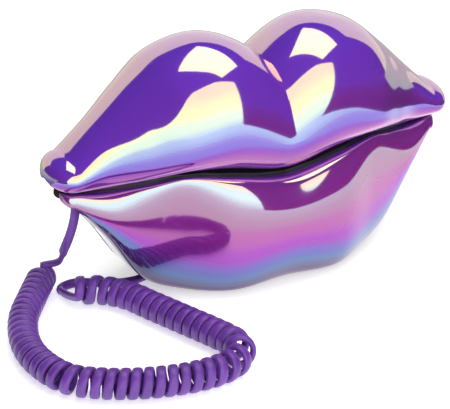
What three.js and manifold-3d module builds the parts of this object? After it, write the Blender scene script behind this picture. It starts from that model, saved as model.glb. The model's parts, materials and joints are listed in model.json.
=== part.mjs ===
// A lips-shaped desk telephone: the upper lip is the handset, the lower lip is the base.
// Millimetres, +Z up, +X to the right along the mouth, -Y is the pouting front.
// The origin is on the table, under the middle of the phone.
import * as THREE from "three";
import { mergeVertices } from "three/addons/utils/BufferGeometryUtils.js";
import Module from "manifold-3d";

const wasm = await Module();
wasm.setup();

// ---- driving dimensions ----
const HALF_LENGTH = 107.5; // the mouth from its middle to a corner
const CAP_START = 97; // past this |x| the handset rounds off into its corner
const END_Y = 5; // the corners sit a little behind the middle of the depth
const WALL = 2.4; // moulded shell
const GAP = 0.3; // clearance between separate pieces
const RIM_GAP = 0.5; // clearance between a shell's mouth and the plate that closes it
const SEAM_STEP = 3; // the base rim is this far below the handset rim
const BASE_END = 102; // half length of the base
const FLOOR_TO_BASE = 3.5; // the feet lift the base shell this far

// Sections of the lips, given at these distances |x| from the middle.
const STATIONS = [0, 28, 50, 66, 82, 97];
const HANDSET = {
  crown: [121.5, 120.5, 114.5, 102, 87, 73],
  ridgeY: [-4, -1.5, 2, 4.5, 5.5, 8],
  wideZ: [74.5, 77.5, 74.5, 70.5, 67.5, 63.5],
  frontY: [-37, -36, -32.5, -23, -13.5, -10.5],
  backY: [35, 38, 36.5, 30, 24, 21],
  tuck: [12.5, 14.5, 12.5, 9, 6, 3.5],
};
const SEAM_Z = [58, 62.5, 65, 61.5, 58.5, 59];
const BASE = {
  topFrontY: [-29, -29, -24, -16, -7, -1],
  frontY: [-39.5, -37.5, -27, -20, -13.5, -5],
  bottomFrontY: [-21.5, -25, -13, -6, -2, 2],
  topBackY: [33, 34, 30, 24, 17, 11],
  backY: [39.5, 38.5, 32.5, 26, 20, 13.5],
  bottomBackY: [25, 26, 20, 16, 12, 8],
  wideZ: [34, 35, 37.5, 39.5, 43, 50],
  keelZ: [FLOOR_TO_BASE, FLOOR_TO_BASE, FLOOR_TO_BASE, 10, 31.5, 50],
};
const CROWN_FULLNESS = 2.25; // superellipse exponent of the handset dome
const BELLY_FULLNESS = 2.3; // superellipse exponent of the base belly
const VALLEY_PINCH = 0.235; // how far the cupid's bow pulls the crown in
const VALLEY_HALF_WIDTH = 36;

// How finely the lips are lofted: sections along the mouth, points round a quarter.
const OUTSIDE = [28, 8];
const INSIDE = [18, 4];
const SEAM_SECTIONS = 24;

// ---- materials ----
const plastic = (color, roughness) => new THREE.MeshStandardMaterial({ color, roughness, metalness: 0 });
const violetShell = new THREE.MeshStandardMaterial({ color: 0x6432b2, roughness: 0.12, metalness: 0.6 });
const blackPlastic = plastic(0x141216, 0.45);
const keyPlastic = plastic(0x2a2530, 0.4);
const violetCord = plastic(0x7644b2, 0.45);
const blackRubber = plastic(0x1b1a1d, 0.85);
const boardGreen = plastic(0x1f5a34, 0.55);
const greyRubber = plastic(0x8d8b93, 0.8);
const steel = new THREE.MeshStandardMaterial({ color: 0xb4b6ba, roughness: 0.35, metalness: 1 });
const brass = new THREE.MeshStandardMaterial({ color: 0xc79a4b, roughness: 0.35, metalness: 1 });

const phone = new THREE.Group();

function add(name, geometry, material, group = phone) {
  const mesh = new THREE.Mesh(geometry, material);
  mesh.name = name;
  group.add(mesh);
  return mesh;
}

// ---- solids ----
function solid(geometry) {
  const bare = new THREE.BufferGeometry();
  bare.setAttribute("position", geometry.getAttribute("position"));
  if (geometry.index) bare.setIndex(geometry.index);
  const merged = mergeVertices(bare, 1e-4);
  return new wasm.Manifold(
    new wasm.Mesh({
      numProp: 3,
      vertProperties: merged.attributes.position.array,
      triVerts: new Uint32Array(merged.index.array),
    }),
  );
}

function geometryOf(manifold) {
  const mesh = manifold.getMesh();
  const geometry = new THREE.BufferGeometry();
  geometry.setAttribute("position", new THREE.BufferAttribute(new Float32Array(mesh.vertProperties), 3));
  geometry.setIndex(new THREE.BufferAttribute(new Uint32Array(mesh.triVerts), 1));
  geometry.computeVertexNormals();
  return geometry;
}

function box(width, depth, height, x, y, z) {
  return solid(new THREE.BoxGeometry(width, depth, height).translate(x, y, z + height / 2));
}

function post(radius, low, high, x, y, sides = 12) {
  const geometry = new THREE.CylinderGeometry(radius, radius, high - low, sides);
  return solid(geometry.rotateX(Math.PI / 2).translate(x, y, (low + high) / 2));
}

function postAlongX(radius, low, high, y, z, sides = 12) {
  const geometry = new THREE.CylinderGeometry(radius, radius, high - low, sides);
  return solid(geometry.rotateZ(Math.PI / 2).translate((low + high) / 2, y, z));
}

function tube(outer, inner, low, high, x, y, sides = 24) {
  return post(outer, low, high, x, y, sides).subtract(post(inner, low - 1, high + 1, x, y, sides));
}

const joined = (pieces) => pieces.reduce((whole, piece) => whole.add(piece));
const cut = (whole, pieces) => pieces.reduce((left, piece) => left.subtract(piece), whole);

// ---- curves through the stations ----
// A cubic through the stations, level at the middle of the mouth.
function through(values, x) {
  const place = Math.min(Math.abs(x), STATIONS[STATIONS.length - 1]);
  const last = STATIONS.length - 1;
  let i = 0;
  while (i < last - 1 && place > STATIONS[i + 1]) i += 1;
  const slope = (k) => {
    if (k === 0) return 0;
    const next = Math.min(k + 1, last);
    return (values[next] - values[k - 1]) / (STATIONS[next] - STATIONS[k - 1]);
  };
  const span = STATIONS[i + 1] - STATIONS[i];
  const s = (place - STATIONS[i]) / span;
  const endSlope = (values[last] - values[last - 1]) / (STATIONS[last] - STATIONS[last - 1]);
  const slopeAfter = i + 1 === last ? endSlope : slope(i + 1);
  return (
    (2 * s ** 3 - 3 * s ** 2 + 1) * values[i] +
    (s ** 3 - 2 * s ** 2 + s) * span * slope(i) +
    (3 * s ** 2 - 2 * s ** 3) * values[i + 1] +
    (s ** 3 - s ** 2) * span * slopeAfter
  );
}

// 1 along the body, falling to 0 at the tip as a round end does.
function roundEnd(x, start, tip) {
  const q = Math.min(Math.max((Math.abs(x) - start) / (tip - start), 0), 1);
  return Math.sqrt(1 - q * q);
}

function seamAt(x) {
  const wide = through(HANDSET.wideZ, x);
  return wide + (through(SEAM_Z, x) - wide) * roundEnd(x, CAP_START, HALF_LENGTH);
}

// Points along a quarter turn: place maps an angle, up to a right angle, to a point.
function quarter(steps, place) {
  return Array.from({ length: steps }, (_, i) => place(((i + 1) / steps) * (Math.PI / 2)));
}

// One closed section of the handset, shrunk by inset; drop carries it straight down past the rim.
function handsetRing(x, inset, drop, steps) {
  const crown = through(HANDSET.crown, x) - inset;
  const ridge = through(HANDSET.ridgeY, x);
  const wide = through(HANDSET.wideZ, x);
  const front = through(HANDSET.frontY, x) + inset;
  const back = through(HANDSET.backY, x) - inset;
  const tuck = through(HANDSET.tuck, x);
  const seam = through(SEAM_Z, x);
  const power = 2 / CROWN_FULLNESS;
  const side = (edge, sign) => [
    [edge - sign * tuck, seam],
    ...quarter(steps / 2, (a) => [
      edge - sign * tuck * (1 - Math.sin(a)),
      wide - (wide - seam) * Math.cos(a),
    ]),
    ...quarter(steps, (a) => [
      ridge + (edge - ridge) * Math.cos(a) ** power,
      wide + (crown - wide) * Math.sin(a) ** power,
    ]),
  ];
  const ring = [...side(front, -1), ...side(back, 1).reverse().slice(1)];
  const bow = Math.max(0, 1 - Math.abs(x) / VALLEY_HALF_WIDTH) ** 2;
  const end = roundEnd(x, CAP_START, HALF_LENGTH - inset);
  const shaped = ring.map(([y, z]) => {
    const height = Math.min(Math.max((z - seam) / (crown - seam), 0), 1);
    const pinch = 1 - VALLEY_PINCH * bow * height ** 1.3;
    return [END_Y + (y * pinch - END_Y) * end, wide + (seam + (z - seam) * pinch - wide) * end];
  });
  if (drop > 0) {
    shaped.unshift([shaped[0][0], shaped[0][1] - drop]);
    const foot = shaped[shaped.length - 1];
    shaped.push([foot[0], foot[1] - drop]);
  }
  return shaped.map(([y, z]) => new THREE.Vector3(x, y, z));
}

// One closed section of the base; rise carries it straight up past the rim.
function baseRing(x, inset, rise, steps) {
  const rim = through(SEAM_Z, x) - SEAM_STEP;
  const wide = through(BASE.wideZ, x);
  const keel = Math.min(through(BASE.keelZ, x), wide - 1) + inset;
  const power = 2 / BELLY_FULLNESS;
  const side = (top, edge, bottom) => [
    [top, rim],
    ...quarter(steps / 2, (a) => [top + (edge - top) * Math.sin(a), wide + (rim - wide) * Math.cos(a)]),
    ...quarter(steps, (a) => [
      bottom + (edge - bottom) * Math.cos(a) ** power,
      wide - (wide - keel) * Math.sin(a) ** power,
    ]),
  ];
  const shrink = (values, sign) => through(values, x) - sign * inset;
  const front = side(shrink(BASE.topFrontY, -1), shrink(BASE.frontY, -1), shrink(BASE.bottomFrontY, -1));
  const back = side(shrink(BASE.topBackY, 1), shrink(BASE.backY, 1), shrink(BASE.bottomBackY, 1));
  const ring = [...front, ...back.reverse()];
  const end = roundEnd(x, CAP_START, BASE_END - inset);
  const shaped = ring.map(([y, z]) => [END_Y + (y - END_Y) * end, rim + (z - rim) * end]);
  if (rise > 0) {
    shaped.unshift([shaped[0][0], shaped[0][1] + rise]);
    const top = shaped[shaped.length - 1];
    shaped.push([top[0], top[1] + rise]);
  }
  return shaped.map(([y, z]) => new THREE.Vector3(x, y, z));
}

// Closed body through rings of equal count, with a fan over each end.
function loft(rings) {
  const count = rings[0].length;
  const positions = rings.flat().flatMap((p) => [p.x, p.y, p.z]);
  const faces = [];
  for (let r = 0; r < rings.length - 1; r += 1) {
    for (let i = 0; i < count; i += 1) {
      const j = (i + 1) % count;
      const a = r * count + i;
      const b = r * count + j;
      faces.push(a, a + count, b, b, a + count, b + count);
    }
  }
  const cap = (ring, start, outward) => {
    const centre = ring.reduce((sum, p) => sum.add(p), new THREE.Vector3()).divideScalar(count);
    const index = positions.length / 3;
    positions.push(centre.x, centre.y, centre.z);
    for (let i = 0; i < count; i += 1) {
      const j = (i + 1) % count;
      const pair = outward ? [start + j, start + i] : [start + i, start + j];
      faces.push(index, ...pair);
    }
  };
  cap(rings[0], 0, false);
  cap(rings[rings.length - 1], (rings.length - 1) * count, true);
  const geometry = new THREE.BufferGeometry();
  geometry.setAttribute("position", new THREE.Float32BufferAttribute(positions, 3));
  geometry.setIndex(faces);
  return geometry;
}

// A manifold from rings, whichever way round they run.
function loftSolid(rings) {
  const made = solid(loft(rings));
  if (made.volume() > 0) return made;
  return solid(loft(rings.map((ring) => [...ring].reverse())));
}

// Stations along the mouth, closer together towards the round ends.
function spread(half, count) {
  return Array.from({ length: count + 1 }, (_, i) => {
    const t = (2 * i) / count - 1;
    return half * Math.sin((t * Math.PI) / 2) * (1 - 1e-4);
  });
}

const handsetBody = (inset, drop, count, steps) =>
  loftSolid(spread(HALF_LENGTH - inset, count).map((x) => handsetRing(x, inset, drop, steps)));
const baseBody = (inset, rise, count, steps) =>
  loftSolid(spread(BASE_END - inset, count).map((x) => baseRing(x, inset, rise, steps)));

// A sheet that follows the seam from end to end, between two heights measured from it.
function seamSheet(low, high) {
  const reach = 60;
  const rings = spread(HALF_LENGTH, SEAM_SECTIONS).map((x) =>
    [[-reach, low], [reach, low], [reach, high], [-reach, high]].map(
      ([y, z]) => new THREE.Vector3(x, y, seamAt(x) + z),
    ),
  );
  return loftSolid(rings);
}

// Flat plate with cut-off corners, for keys and the ballast.
function roundedPlate(width, depth, radius, low, high, x, y) {
  const shape = new THREE.Shape();
  const w = width / 2;
  const d = depth / 2;
  const r = radius;
  shape.moveTo(-w + r, -d);
  shape.lineTo(w - r, -d);
  shape.absarc(w - r, -d + r, r, -Math.PI / 2, 0, false);
  shape.lineTo(w, d - r);
  shape.absarc(w - r, d - r, r, 0, Math.PI / 2, false);
  shape.lineTo(-w + r, d);
  shape.absarc(-w + r, d - r, r, Math.PI / 2, Math.PI, false);
  shape.lineTo(-w, -d + r);
  shape.absarc(-w + r, -d + r, r, Math.PI, 1.5 * Math.PI, false);
  const geometry = new THREE.ExtrudeGeometry(shape, {
    depth: high - low,
    bevelEnabled: false,
    curveSegments: 1,
  });
  return solid(geometry.translate(x, y, low));
}

// ---- handset: shell, faceplate, receiver, microphone, keypad ----
const PLATE_LOW = -1.5; // faceplate, measured from the seam
const PLATE_HIGH = 1;
const WELL = { halfLength: 37, halfDepth: 17, y: 1.5, ceiling: 67.5, wall: 1.5 };
const KEY = { width: 9, depth: 7.6, pitchX: 13.4, pitchY: 10.6, face: 64.5, travel: 1.2, clearance: 0.45 };
const EARPIECE = { x: 66, y: 5, radius: 11, seat: 65.2, height: 8 };
const MICROPHONE = { x: -66, y: 5, radius: 4.9, seat: 67.5, height: 5 };
const CORD_HOLE = { x: -92, y: 6 };
const HANDSET_SCREWS = [[-47, 5], [47, 5], [-80, 5], [88, 5]];
const SCREW = { headRadius: 2.7, headHeight: 1, shankRadius: 1.2, length: 9, bossRadius: 3.2 };

// Keys run up the mouth from the microphone end: three to a row, as on any keypad.
const KEY_ROWS = [
  ["key_redial", "key_flash", "key_mute"],
  ["key_star", "key_0", "key_hash"],
  ["key_7", "key_8", "key_9"],
  ["key_4", "key_5", "key_6"],
  ["key_1", "key_2", "key_3"],
];
const keyPlace = (row, column) => [
  (row - 2) * KEY.pitchX,
  WELL.y + (column - 1) * KEY.pitchY,
];
const eachKey = (make) =>
  KEY_ROWS.flatMap((names, row) => names.map((name, column) => make(name, ...keyPlace(row, column))));

function handsetShell() {
  const outer = handsetBody(0, 0, ...OUTSIDE);
  const inner = handsetBody(WALL, 4, ...INSIDE);
  const bosses = HANDSET_SCREWS.map(([x, y]) => {
    const low = seamAt(x) + PLATE_HIGH + 0.9;
    const pilot = post(SCREW.shankRadius + GAP, low - 1, low + SCREW.length, x, y, 10);
    return post(SCREW.bossRadius, low, 130, x, y).intersect(outer).subtract(pilot);
  });
  return joined([outer.subtract(inner), ...bosses]);
}

function handsetFaceplate() {
  const plug = handsetBody(WALL + RIM_GAP, 6, ...INSIDE);
  const plate = seamSheet(PLATE_LOW, PLATE_HIGH).intersect(plug);
  const outside = WELL.wall;
  const length = 2 * WELL.halfLength;
  const depth = 2 * WELL.halfDepth;
  const tray = box(length + 2 * outside, depth + 2 * outside, 12, 0, WELL.y, WELL.ceiling + outside - 12);
  const pocket = box(length, depth, 30, 0, WELL.y, WELL.ceiling - 30);
  const keyHoles = eachKey((_, x, y) =>
    roundedPlate(KEY.width + 2 * KEY.clearance, KEY.depth + 2 * KEY.clearance, 2.6, 60, 75, x, y),
  );
  const earBore = EARPIECE.radius + GAP;
  const earCollar = tube(EARPIECE.radius + 1.7, earBore, 61, EARPIECE.seat + 3, EARPIECE.x, EARPIECE.y);
  const micCollar = tube(8.4, 7, 61, MICROPHONE.seat + 1, MICROPHONE.x, MICROPHONE.y, 16);
  const below = seamSheet(PLATE_LOW - 30, PLATE_LOW);
  const raised = cut(joined([tray, earCollar, micCollar]), [below]).intersect(plug);
  const soundHoles = [
    ...ringOf(6, 5.5, EARPIECE.x, EARPIECE.y, 1.2),
    ...ringOf(1, 0, EARPIECE.x, EARPIECE.y, 1.2),
    ...ringOf(3, 2.2, MICROPHONE.x, MICROPHONE.y, 0.9),
  ];
  const screwHoles = HANDSET_SCREWS.flatMap(([x, y]) => {
    const low = seamAt(x) + PLATE_LOW;
    return [post(1.7, low - 5, low + 8, x, y, 10), post(3.1, low - 5, low + 1.7, x, y, 14)];
  });
  const cordHole = post(3.3, 50, 66, CORD_HOLE.x, CORD_HOLE.y, 14);
  const plain = plate.add(raised);
  return cut(plain, [pocket, ...keyHoles, ...soundHoles, ...screwHoles, cordHole]);
}

// A circle of small upright holes.
function ringOf(count, radius, x, y, holeRadius) {
  return Array.from({ length: count }, (_, i) => {
    const angle = (2 * Math.PI * i) / count;
    return post(holeRadius, 50, 75, x + radius * Math.cos(angle), y + radius * Math.sin(angle), 8);
  });
}

function addHandset() {
  add("handset_shell", geometryOf(handsetShell()), violetShell);
  add("handset_faceplate", geometryOf(handsetFaceplate()), blackPlastic);
  eachKey((name, x, y) => {
    const flange = WELL.ceiling + WELL.wall + GAP;
    const cap = roundedPlate(KEY.width, KEY.depth, 2.4, KEY.face, flange + 0.2, x, y);
    const lip = roundedPlate(KEY.width + 1.2, KEY.depth + 1.2, 2.6, flange, flange + 0.9, x, y);
    add(name, geometryOf(cap.add(lip)), keyPlastic);
  });
  const flangeTop = WELL.ceiling + WELL.wall + GAP + 0.9;
  const mat = flangeTop + KEY.travel + 0.3;
  const domes = eachKey((_, x, y) => post(3, mat + 0.5, mat + 2, x, y, 6));
  const sheet = box(2 * WELL.halfLength, 2 * WELL.halfDepth, 1, 0, WELL.y, mat);
  add("keypad_mat", geometryOf(joined([sheet, ...domes])), greyRubber);
  add("keypad_circuit_board", geometryOf(keypadBoard(mat + 2 + GAP)), boardGreen);
  addReceiver();
  addMicrophone();
  HANDSET_SCREWS.forEach(([x, y], i) => {
    add(`handset_screw_${i + 1}`, geometryOf(screwUp(x, y, seamAt(x) + PLATE_LOW + 0.5)), steel);
  });
  add("handset_cord_relief", geometryOf(handsetCordRelief()), violetCord);
}

function keypadBoard(low) {
  const board = box(2 * WELL.halfLength, 2 * WELL.halfDepth, 1.6, 0, WELL.y, low);
  const chips = [
    box(16, 8, 2.6, -14, WELL.y, low + 1.2),
    box(6, 5, 4, 8, WELL.y + 7, low + 1.2),
    box(11, 4, 3.4, 20, WELL.y - 6, low + 1.2),
    post(2.6, low + 1.2, low + 8, 27, WELL.y + 6, 12),
  ];
  return joined([board, ...chips]);
}

function addReceiver() {
  const { x, y, radius, seat, height } = EARPIECE;
  const profile = [
    [0, 0], [radius, 0], [radius, 3.2], [radius - 3, 4.6], [radius - 3, height], [0, height],
  ].map(([r, z]) => new THREE.Vector2(r, z));
  const receiver = new THREE.LatheGeometry(profile, 24).rotateX(Math.PI / 2).translate(x, y, seat + 1 + GAP);
  add("earpiece_receiver", receiver, steel);
  const gasket = tube(radius - 0.3, radius - 3.2, seat, seat + 1, x, y);
  add("earpiece_gasket", geometryOf(gasket), greyRubber);
}

function addMicrophone() {
  const { x, y, radius, seat, height } = MICROPHONE;
  const capsule = post(radius, seat, seat + height, x, y, 16);
  add("microphone_capsule", geometryOf(capsule), steel);
  const outer = post(radius + 1.7, seat - 2, seat + height - 1, x, y, 16);
  const bore = post(radius + GAP, seat - GAP, seat + height, x, y, 16);
  const mouth = post(2, seat - 5, seat + 1, x, y, 12);
  add("microphone_boot", geometryOf(cut(outer, [bore, mouth])), greyRubber);
}

// A pan-head screw driven upwards, its head face at low.
function screwUp(x, y, low) {
  const { headRadius, headHeight, shankRadius, length } = SCREW;
  const slot = box(0.7, 3.6, 0.5, x, y, low - 0.1);
  const cross = box(3.6, 0.7, 0.5, x, y, low - 0.1);
  const head = post(headRadius, low, low + headHeight, x, y, 14);
  return cut(head.add(post(shankRadius, low + 0.5, low + length, x, y, 8)), [slot, cross]);
}

// Moulded collar where the cord leaves the handset, tapering downwards.
function handsetCordRelief() {
  const profile = [
    [0, 50], [2.6, 50], [3, 56.5], [3, 60.6], [4.3, 60.6], [4.3, 62], [0, 62],
  ].map(([r, z]) => new THREE.Vector2(r, z));
  const geometry = new THREE.LatheGeometry(profile, 14).rotateX(Math.PI / 2);
  return solid(geometry.translate(CORD_HOLE.x, CORD_HOLE.y, 0));
}

// ---- base: front shell, back cover, deck, bottom cover and what is inside ----
const DECK_HIGH = -1.8; // top of the deck, measured from the seam
const DECK_LOW = -4.3;
const BOTTOM = { halfLength: 44, halfDepth: 14.5, y: 4 };
const BASE_SCREWS = [[-26, -3.5], [26, -3.5], [-26, 11.5], [26, 11.5]];
const FEET = [[-30, -17.5], [30, -17.5], [-30, 22], [30, 22]];
const HOOK = { x: 56, y: 8, radius: 4, travel: 4, flange: 50, seat: 40.5 };
const LINE_JACK = { x: 20, z: 22.2, width: 14, height: 12, mouth: 38.2 };
const SWITCHES = { ringer_switch: -8, tone_pulse_switch: -24 };
const SWITCH = { z: 16, travel: 5, knob: 4, face: 38.6, saddle: 31 };
const BOARD_Z = 20;
const CORD_MOUTH = { y: -1, z: 5.2 };

// The line where the violet front meets the black back cover, in plan.
const splitAt = (x) => END_Y + 16 * (1 - Math.min(Math.abs(x) / 92, 1) ** 2);

function planRegion(shift, far) {
  const shape = new THREE.Shape();
  shape.moveTo(-130, far);
  const steps = 20;
  for (let i = 0; i <= steps; i += 1) {
    const x = -130 + (260 * i) / steps;
    shape.lineTo(x, splitAt(x) + shift);
  }
  shape.lineTo(130, far);
  const geometry = new THREE.ExtrudeGeometry(shape, { depth: 90, bevelEnabled: false });
  return solid(geometry.translate(0, 0, -5));
}

function bottomOutline(shrink, low, high) {
  const shape = new THREE.Shape();
  const steps = 28;
  const power = 2 / 2.5;
  for (let i = 0; i < steps; i += 1) {
    const a = (2 * Math.PI * i) / steps;
    const x = (BOTTOM.halfLength - shrink) * Math.sign(Math.cos(a)) * Math.abs(Math.cos(a)) ** power;
    const y = (BOTTOM.halfDepth - shrink) * Math.sign(Math.sin(a)) * Math.abs(Math.sin(a)) ** power;
    if (i === 0) shape.moveTo(x, y);
    else shape.lineTo(x, y);
  }
  shape.closePath();
  const geometry = new THREE.ExtrudeGeometry(shape, { depth: high - low, bevelEnabled: false });
  return solid(geometry.translate(0, BOTTOM.y, low));
}

// The open notch in the left corner that lets the handset cord hang down.
function cordNotch() {
  const width = 8;
  const slot = box(20, width, 40, CORD_HOLE.x - 10, CORD_HOLE.y, 35);
  return slot.add(post(width / 2, 35, 75, CORD_HOLE.x, CORD_HOLE.y, 16));
}

function baseShells() {
  const outer = baseBody(0, 0, ...OUTSIDE);
  const inner = baseBody(WALL, 4, ...INSIDE);
  const opening = bottomOutline(0, 0, 9);
  const mouseHole = postAlongX(3.9, -66, -43, CORD_MOUTH.y, CORD_MOUTH.z, 14);
  const shell = cut(outer.subtract(inner), [opening, cordNotch(), mouseHole]);
  const front = shell.intersect(planRegion(0, -90));
  const jack = LINE_JACK;
  const holes = [
    box(jack.width + 0.8, 30, jack.height + 0.8, jack.x, 40, jack.z - 0.4),
    ...Object.values(SWITCHES).map((x) =>
      box(SWITCH.travel + SWITCH.knob + 1, 30, 4, x + SWITCH.travel / 2, 45, SWITCH.z - 2),
    ),
  ];
  const back = cut(shell.intersect(planRegion(GAP, 90)), holes);
  return [front, back];
}

function baseDeck() {
  const plug = baseBody(WALL + RIM_GAP, 6, ...INSIDE);
  const plate = seamSheet(DECK_LOW, DECK_HIGH).intersect(plug);
  const columns = BASE_SCREWS.map(([x, y]) => {
    const low = FLOOR_TO_BASE + WALL + 0.6;
    const pilot = post(SCREW.shankRadius + GAP, low - 1, 18, x, y, 10);
    return post(SCREW.bossRadius, low, seamAt(x) - 3, x, y).subtract(pilot);
  });
  const plungerHole = post(HOOK.radius + 0.5, 45, 75, HOOK.x, HOOK.y, 16);
  return cut(joined([plate, ...columns]), [cordNotch(), plungerHole]);
}

function bottomCover() {
  const high = FLOOR_TO_BASE + WALL;
  const holes = BASE_SCREWS.flatMap(([x, y]) => [
    post(1.7, 0, 12, x, y, 10),
    post(3.1, 0, FLOOR_TO_BASE + 1.2, x, y, 14),
  ]);
  return cut(bottomOutline(GAP, FLOOR_TO_BASE, high), holes);
}

function baseBoard() {
  const board = box(92, 30, 1.6, 0, 4, BOARD_Z);
  const holes = BASE_SCREWS.map(([x, y]) => post(SCREW.bossRadius + GAP, 15, 25, x, y, 14));
  const parts = [
    box(18, 7, 4, -38, 3, BOARD_Z + 1.2),
    box(8, 8, 9, 38, 3, BOARD_Z + 1.2),
    post(4, BOARD_Z + 1.2, BOARD_Z + 13, 38, 13, 12),
  ];
  return cut(joined([board, ...parts]), holes);
}

function lineJack() {
  const { x, z, width, height, mouth } = LINE_JACK;
  const body = box(width, 18, height, x, mouth - 9, z);
  const cavity = box(10, 13, 7, x, mouth - 6, z + 3.4);
  const latch = box(4, 13, 3, x, mouth - 6, z + 1);
  return cut(body, [cavity, latch]);
}

function switchKnob(x) {
  const { z, knob, face, saddle } = SWITCH;
  const reach = face - saddle + 0.5;
  const stem = box(knob, reach, 3, x, face - reach / 2, z - 1.5);
  return stem.add(box(knob + 5, 2, 5, x, saddle - 1, z - 2.5));
}

function hookPlunger() {
  const top = seamAt(HOOK.x + HOOK.radius) + PLATE_LOW - 2 * GAP;
  const stem = post(HOOK.radius, HOOK.flange, top, HOOK.x, HOOK.y, 16);
  const flange = post(6.4, HOOK.flange, HOOK.flange + 1.6, HOOK.x, HOOK.y, 16);
  const guide = post(2.6, HOOK.seat + GAP + 3, HOOK.flange + 1, HOOK.x, HOOK.y, 12);
  return joined([stem, flange, guide]);
}

// Closed-coil spring under the plunger flange.
class SpringCurve extends THREE.Curve {
  getPoint(t, target = new THREE.Vector3()) {
    const turns = 4.5;
    const angle = t * turns * 2 * Math.PI;
    const low = HOOK.seat + GAP + 0.6;
    const high = HOOK.flange - GAP - 0.6;
    const radius = 4.6;
    return target.set(
      HOOK.x + radius * Math.cos(angle),
      HOOK.y + radius * Math.sin(angle),
      low + (high - low) * t,
    );
  }
}

function circleShape(radius, sides) {
  const shape = new THREE.Shape();
  for (let i = 0; i < sides; i += 1) {
    const a = (2 * Math.PI * i) / sides;
    if (i === 0) shape.moveTo(radius, 0);
    else shape.lineTo(radius * Math.cos(a), radius * Math.sin(a));
  }
  shape.closePath();
  return shape;
}

function hookSwitch() {
  const body = box(22, 12, 16, HOOK.x, HOOK.y, HOOK.seat - 16);
  const well = post(3.1, HOOK.seat - 6, HOOK.seat + 2, HOOK.x, HOOK.y, 12);
  return body.subtract(well);
}

// Collar in the mouse hole where the cord goes into the base.
function baseCordRelief() {
  const profile = [
    [0, 0], [2.6, 0], [3.5, 8], [3.5, 11], [0, 11],
  ].map(([r, z]) => new THREE.Vector2(r, z));
  const geometry = new THREE.LatheGeometry(profile, 14).rotateZ(-Math.PI / 2);
  return solid(geometry.translate(-57, CORD_MOUTH.y, CORD_MOUTH.z));
}

function addBase() {
  const [front, back] = baseShells();
  add("base_front_shell", geometryOf(front), violetShell);
  add("base_back_cover", geometryOf(back), blackPlastic);
  add("base_deck", geometryOf(baseDeck()), blackPlastic);
  add("base_bottom_cover", geometryOf(bottomCover()), blackPlastic);
  FEET.forEach(([x, y], i) => {
    const foot = new THREE.CylinderGeometry(4, 4.4, FLOOR_TO_BASE - GAP, 18);
    foot.rotateX(Math.PI / 2).translate(x, y, (FLOOR_TO_BASE - GAP) / 2);
    add(`rubber_foot_${i + 1}`, foot, blackRubber);
  });
  BASE_SCREWS.forEach(([x, y], i) => {
    add(`base_screw_${i + 1}`, geometryOf(screwUp(x, y, FLOOR_TO_BASE + 0.1)), steel);
  });
  add("ballast_plate", geometryOf(roundedPlate(44, 22, 3, 6.5, 12.5, 0, 4)), steel);
  add("base_circuit_board", geometryOf(baseBoard()), boardGreen);
  const can = tube(11, 2, BOARD_Z + 2, BOARD_Z + 8, 0, 4);
  add("ringer_buzzer", geometryOf(can.add(post(10, BOARD_Z + 2, BOARD_Z + 4, 0, 4, 20))), brass);
  add("line_jack", geometryOf(lineJack()), blackPlastic);
  Object.entries(SWITCHES).forEach(([name, x]) => {
    add(name, geometryOf(switchKnob(x)), keyPlastic);
  });
  add("hook_plunger", geometryOf(hookPlunger()), blackPlastic);
  const coil = { extrudePath: new SpringCurve(), steps: 45, bevelEnabled: false };
  add("hook_spring", new THREE.ExtrudeGeometry(circleShape(0.5, 5), coil), steel);
  add("hook_switch", geometryOf(hookSwitch()), keyPlastic);
  add("base_cord_relief", geometryOf(baseCordRelief()), violetCord);
}

// ---- handset cord: a lead from the handset, the curly length, a lead into the base ----
const COIL_RADIUS = 7;
const COIL_ROUTE = [
  [-105, 18], [-117, 2], [-130, -17], [-138, -39], [-139, -57], [-134, -75], [-122, -86],
  [-105, -94.5], [-86, -99], [-70, -98], [-60, -92], [-57, -82], [-60, -70], [-66, -53],
  [-73, -33], [-79, -17], [-89, -6], [-97, -3],
];
const HANDSET_LEAD = [
  [-92, 6, 49.7], [-92.1, 6.1, 44], [-92.8, 7.2, 37], [-94.3, 9, 29.5], [-96.3, 11.4, 22],
  [-97.8, 14.4, 15], [-98.3, 16.1, 10],
];
const BASE_LEAD = [
  [-97.8, 3.2, 5], [-100, 7.2, 2.9], [-97.8, 12, 2.3], [-91.5, 13.4, 2.3], [-85, 10.8, 2.3],
  [-78, 6.6, 2.3], [-71, 2.6, 2.6], [-65, -0.2, 3.8], [-60, -1, 4.9], [-57.4, -1, 5.1],
];

function cordTube(points, section, steps) {
  const path = new THREE.CatmullRomCurve3(points.map((p) => new THREE.Vector3(...p)), false, "centripetal");
  return new THREE.ExtrudeGeometry(section, { extrudePath: path, steps, bevelEnabled: false });
}

function addCord() {
  const lead = circleShape(1.7, 8);
  add("handset_cord_lead", cordTube(HANDSET_LEAD, lead, 14), violetCord);
  const coil = COIL_ROUTE.map(([x, y]) => [x, y, COIL_RADIUS + 0.1]);
  add("handset_cord_coil", cordTube(coil, circleShape(COIL_RADIUS, 8), 32), violetCord);
  add("base_cord_lead", cordTube(BASE_LEAD, lead, 16), violetCord);
}

addHandset();
addBase();
addCord();

export default phone;
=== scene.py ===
"""Looks for the lips telephone: camera, cord, fine shells, materials, keypad printing and studio.

Lengths in the shape formulas are millimetres, as in the part's source; MM turns them into metres.
X runs along the mouth, -Y is the pouting front, +Z is up, and the origin is on the table.
"""

import json
import math

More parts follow.
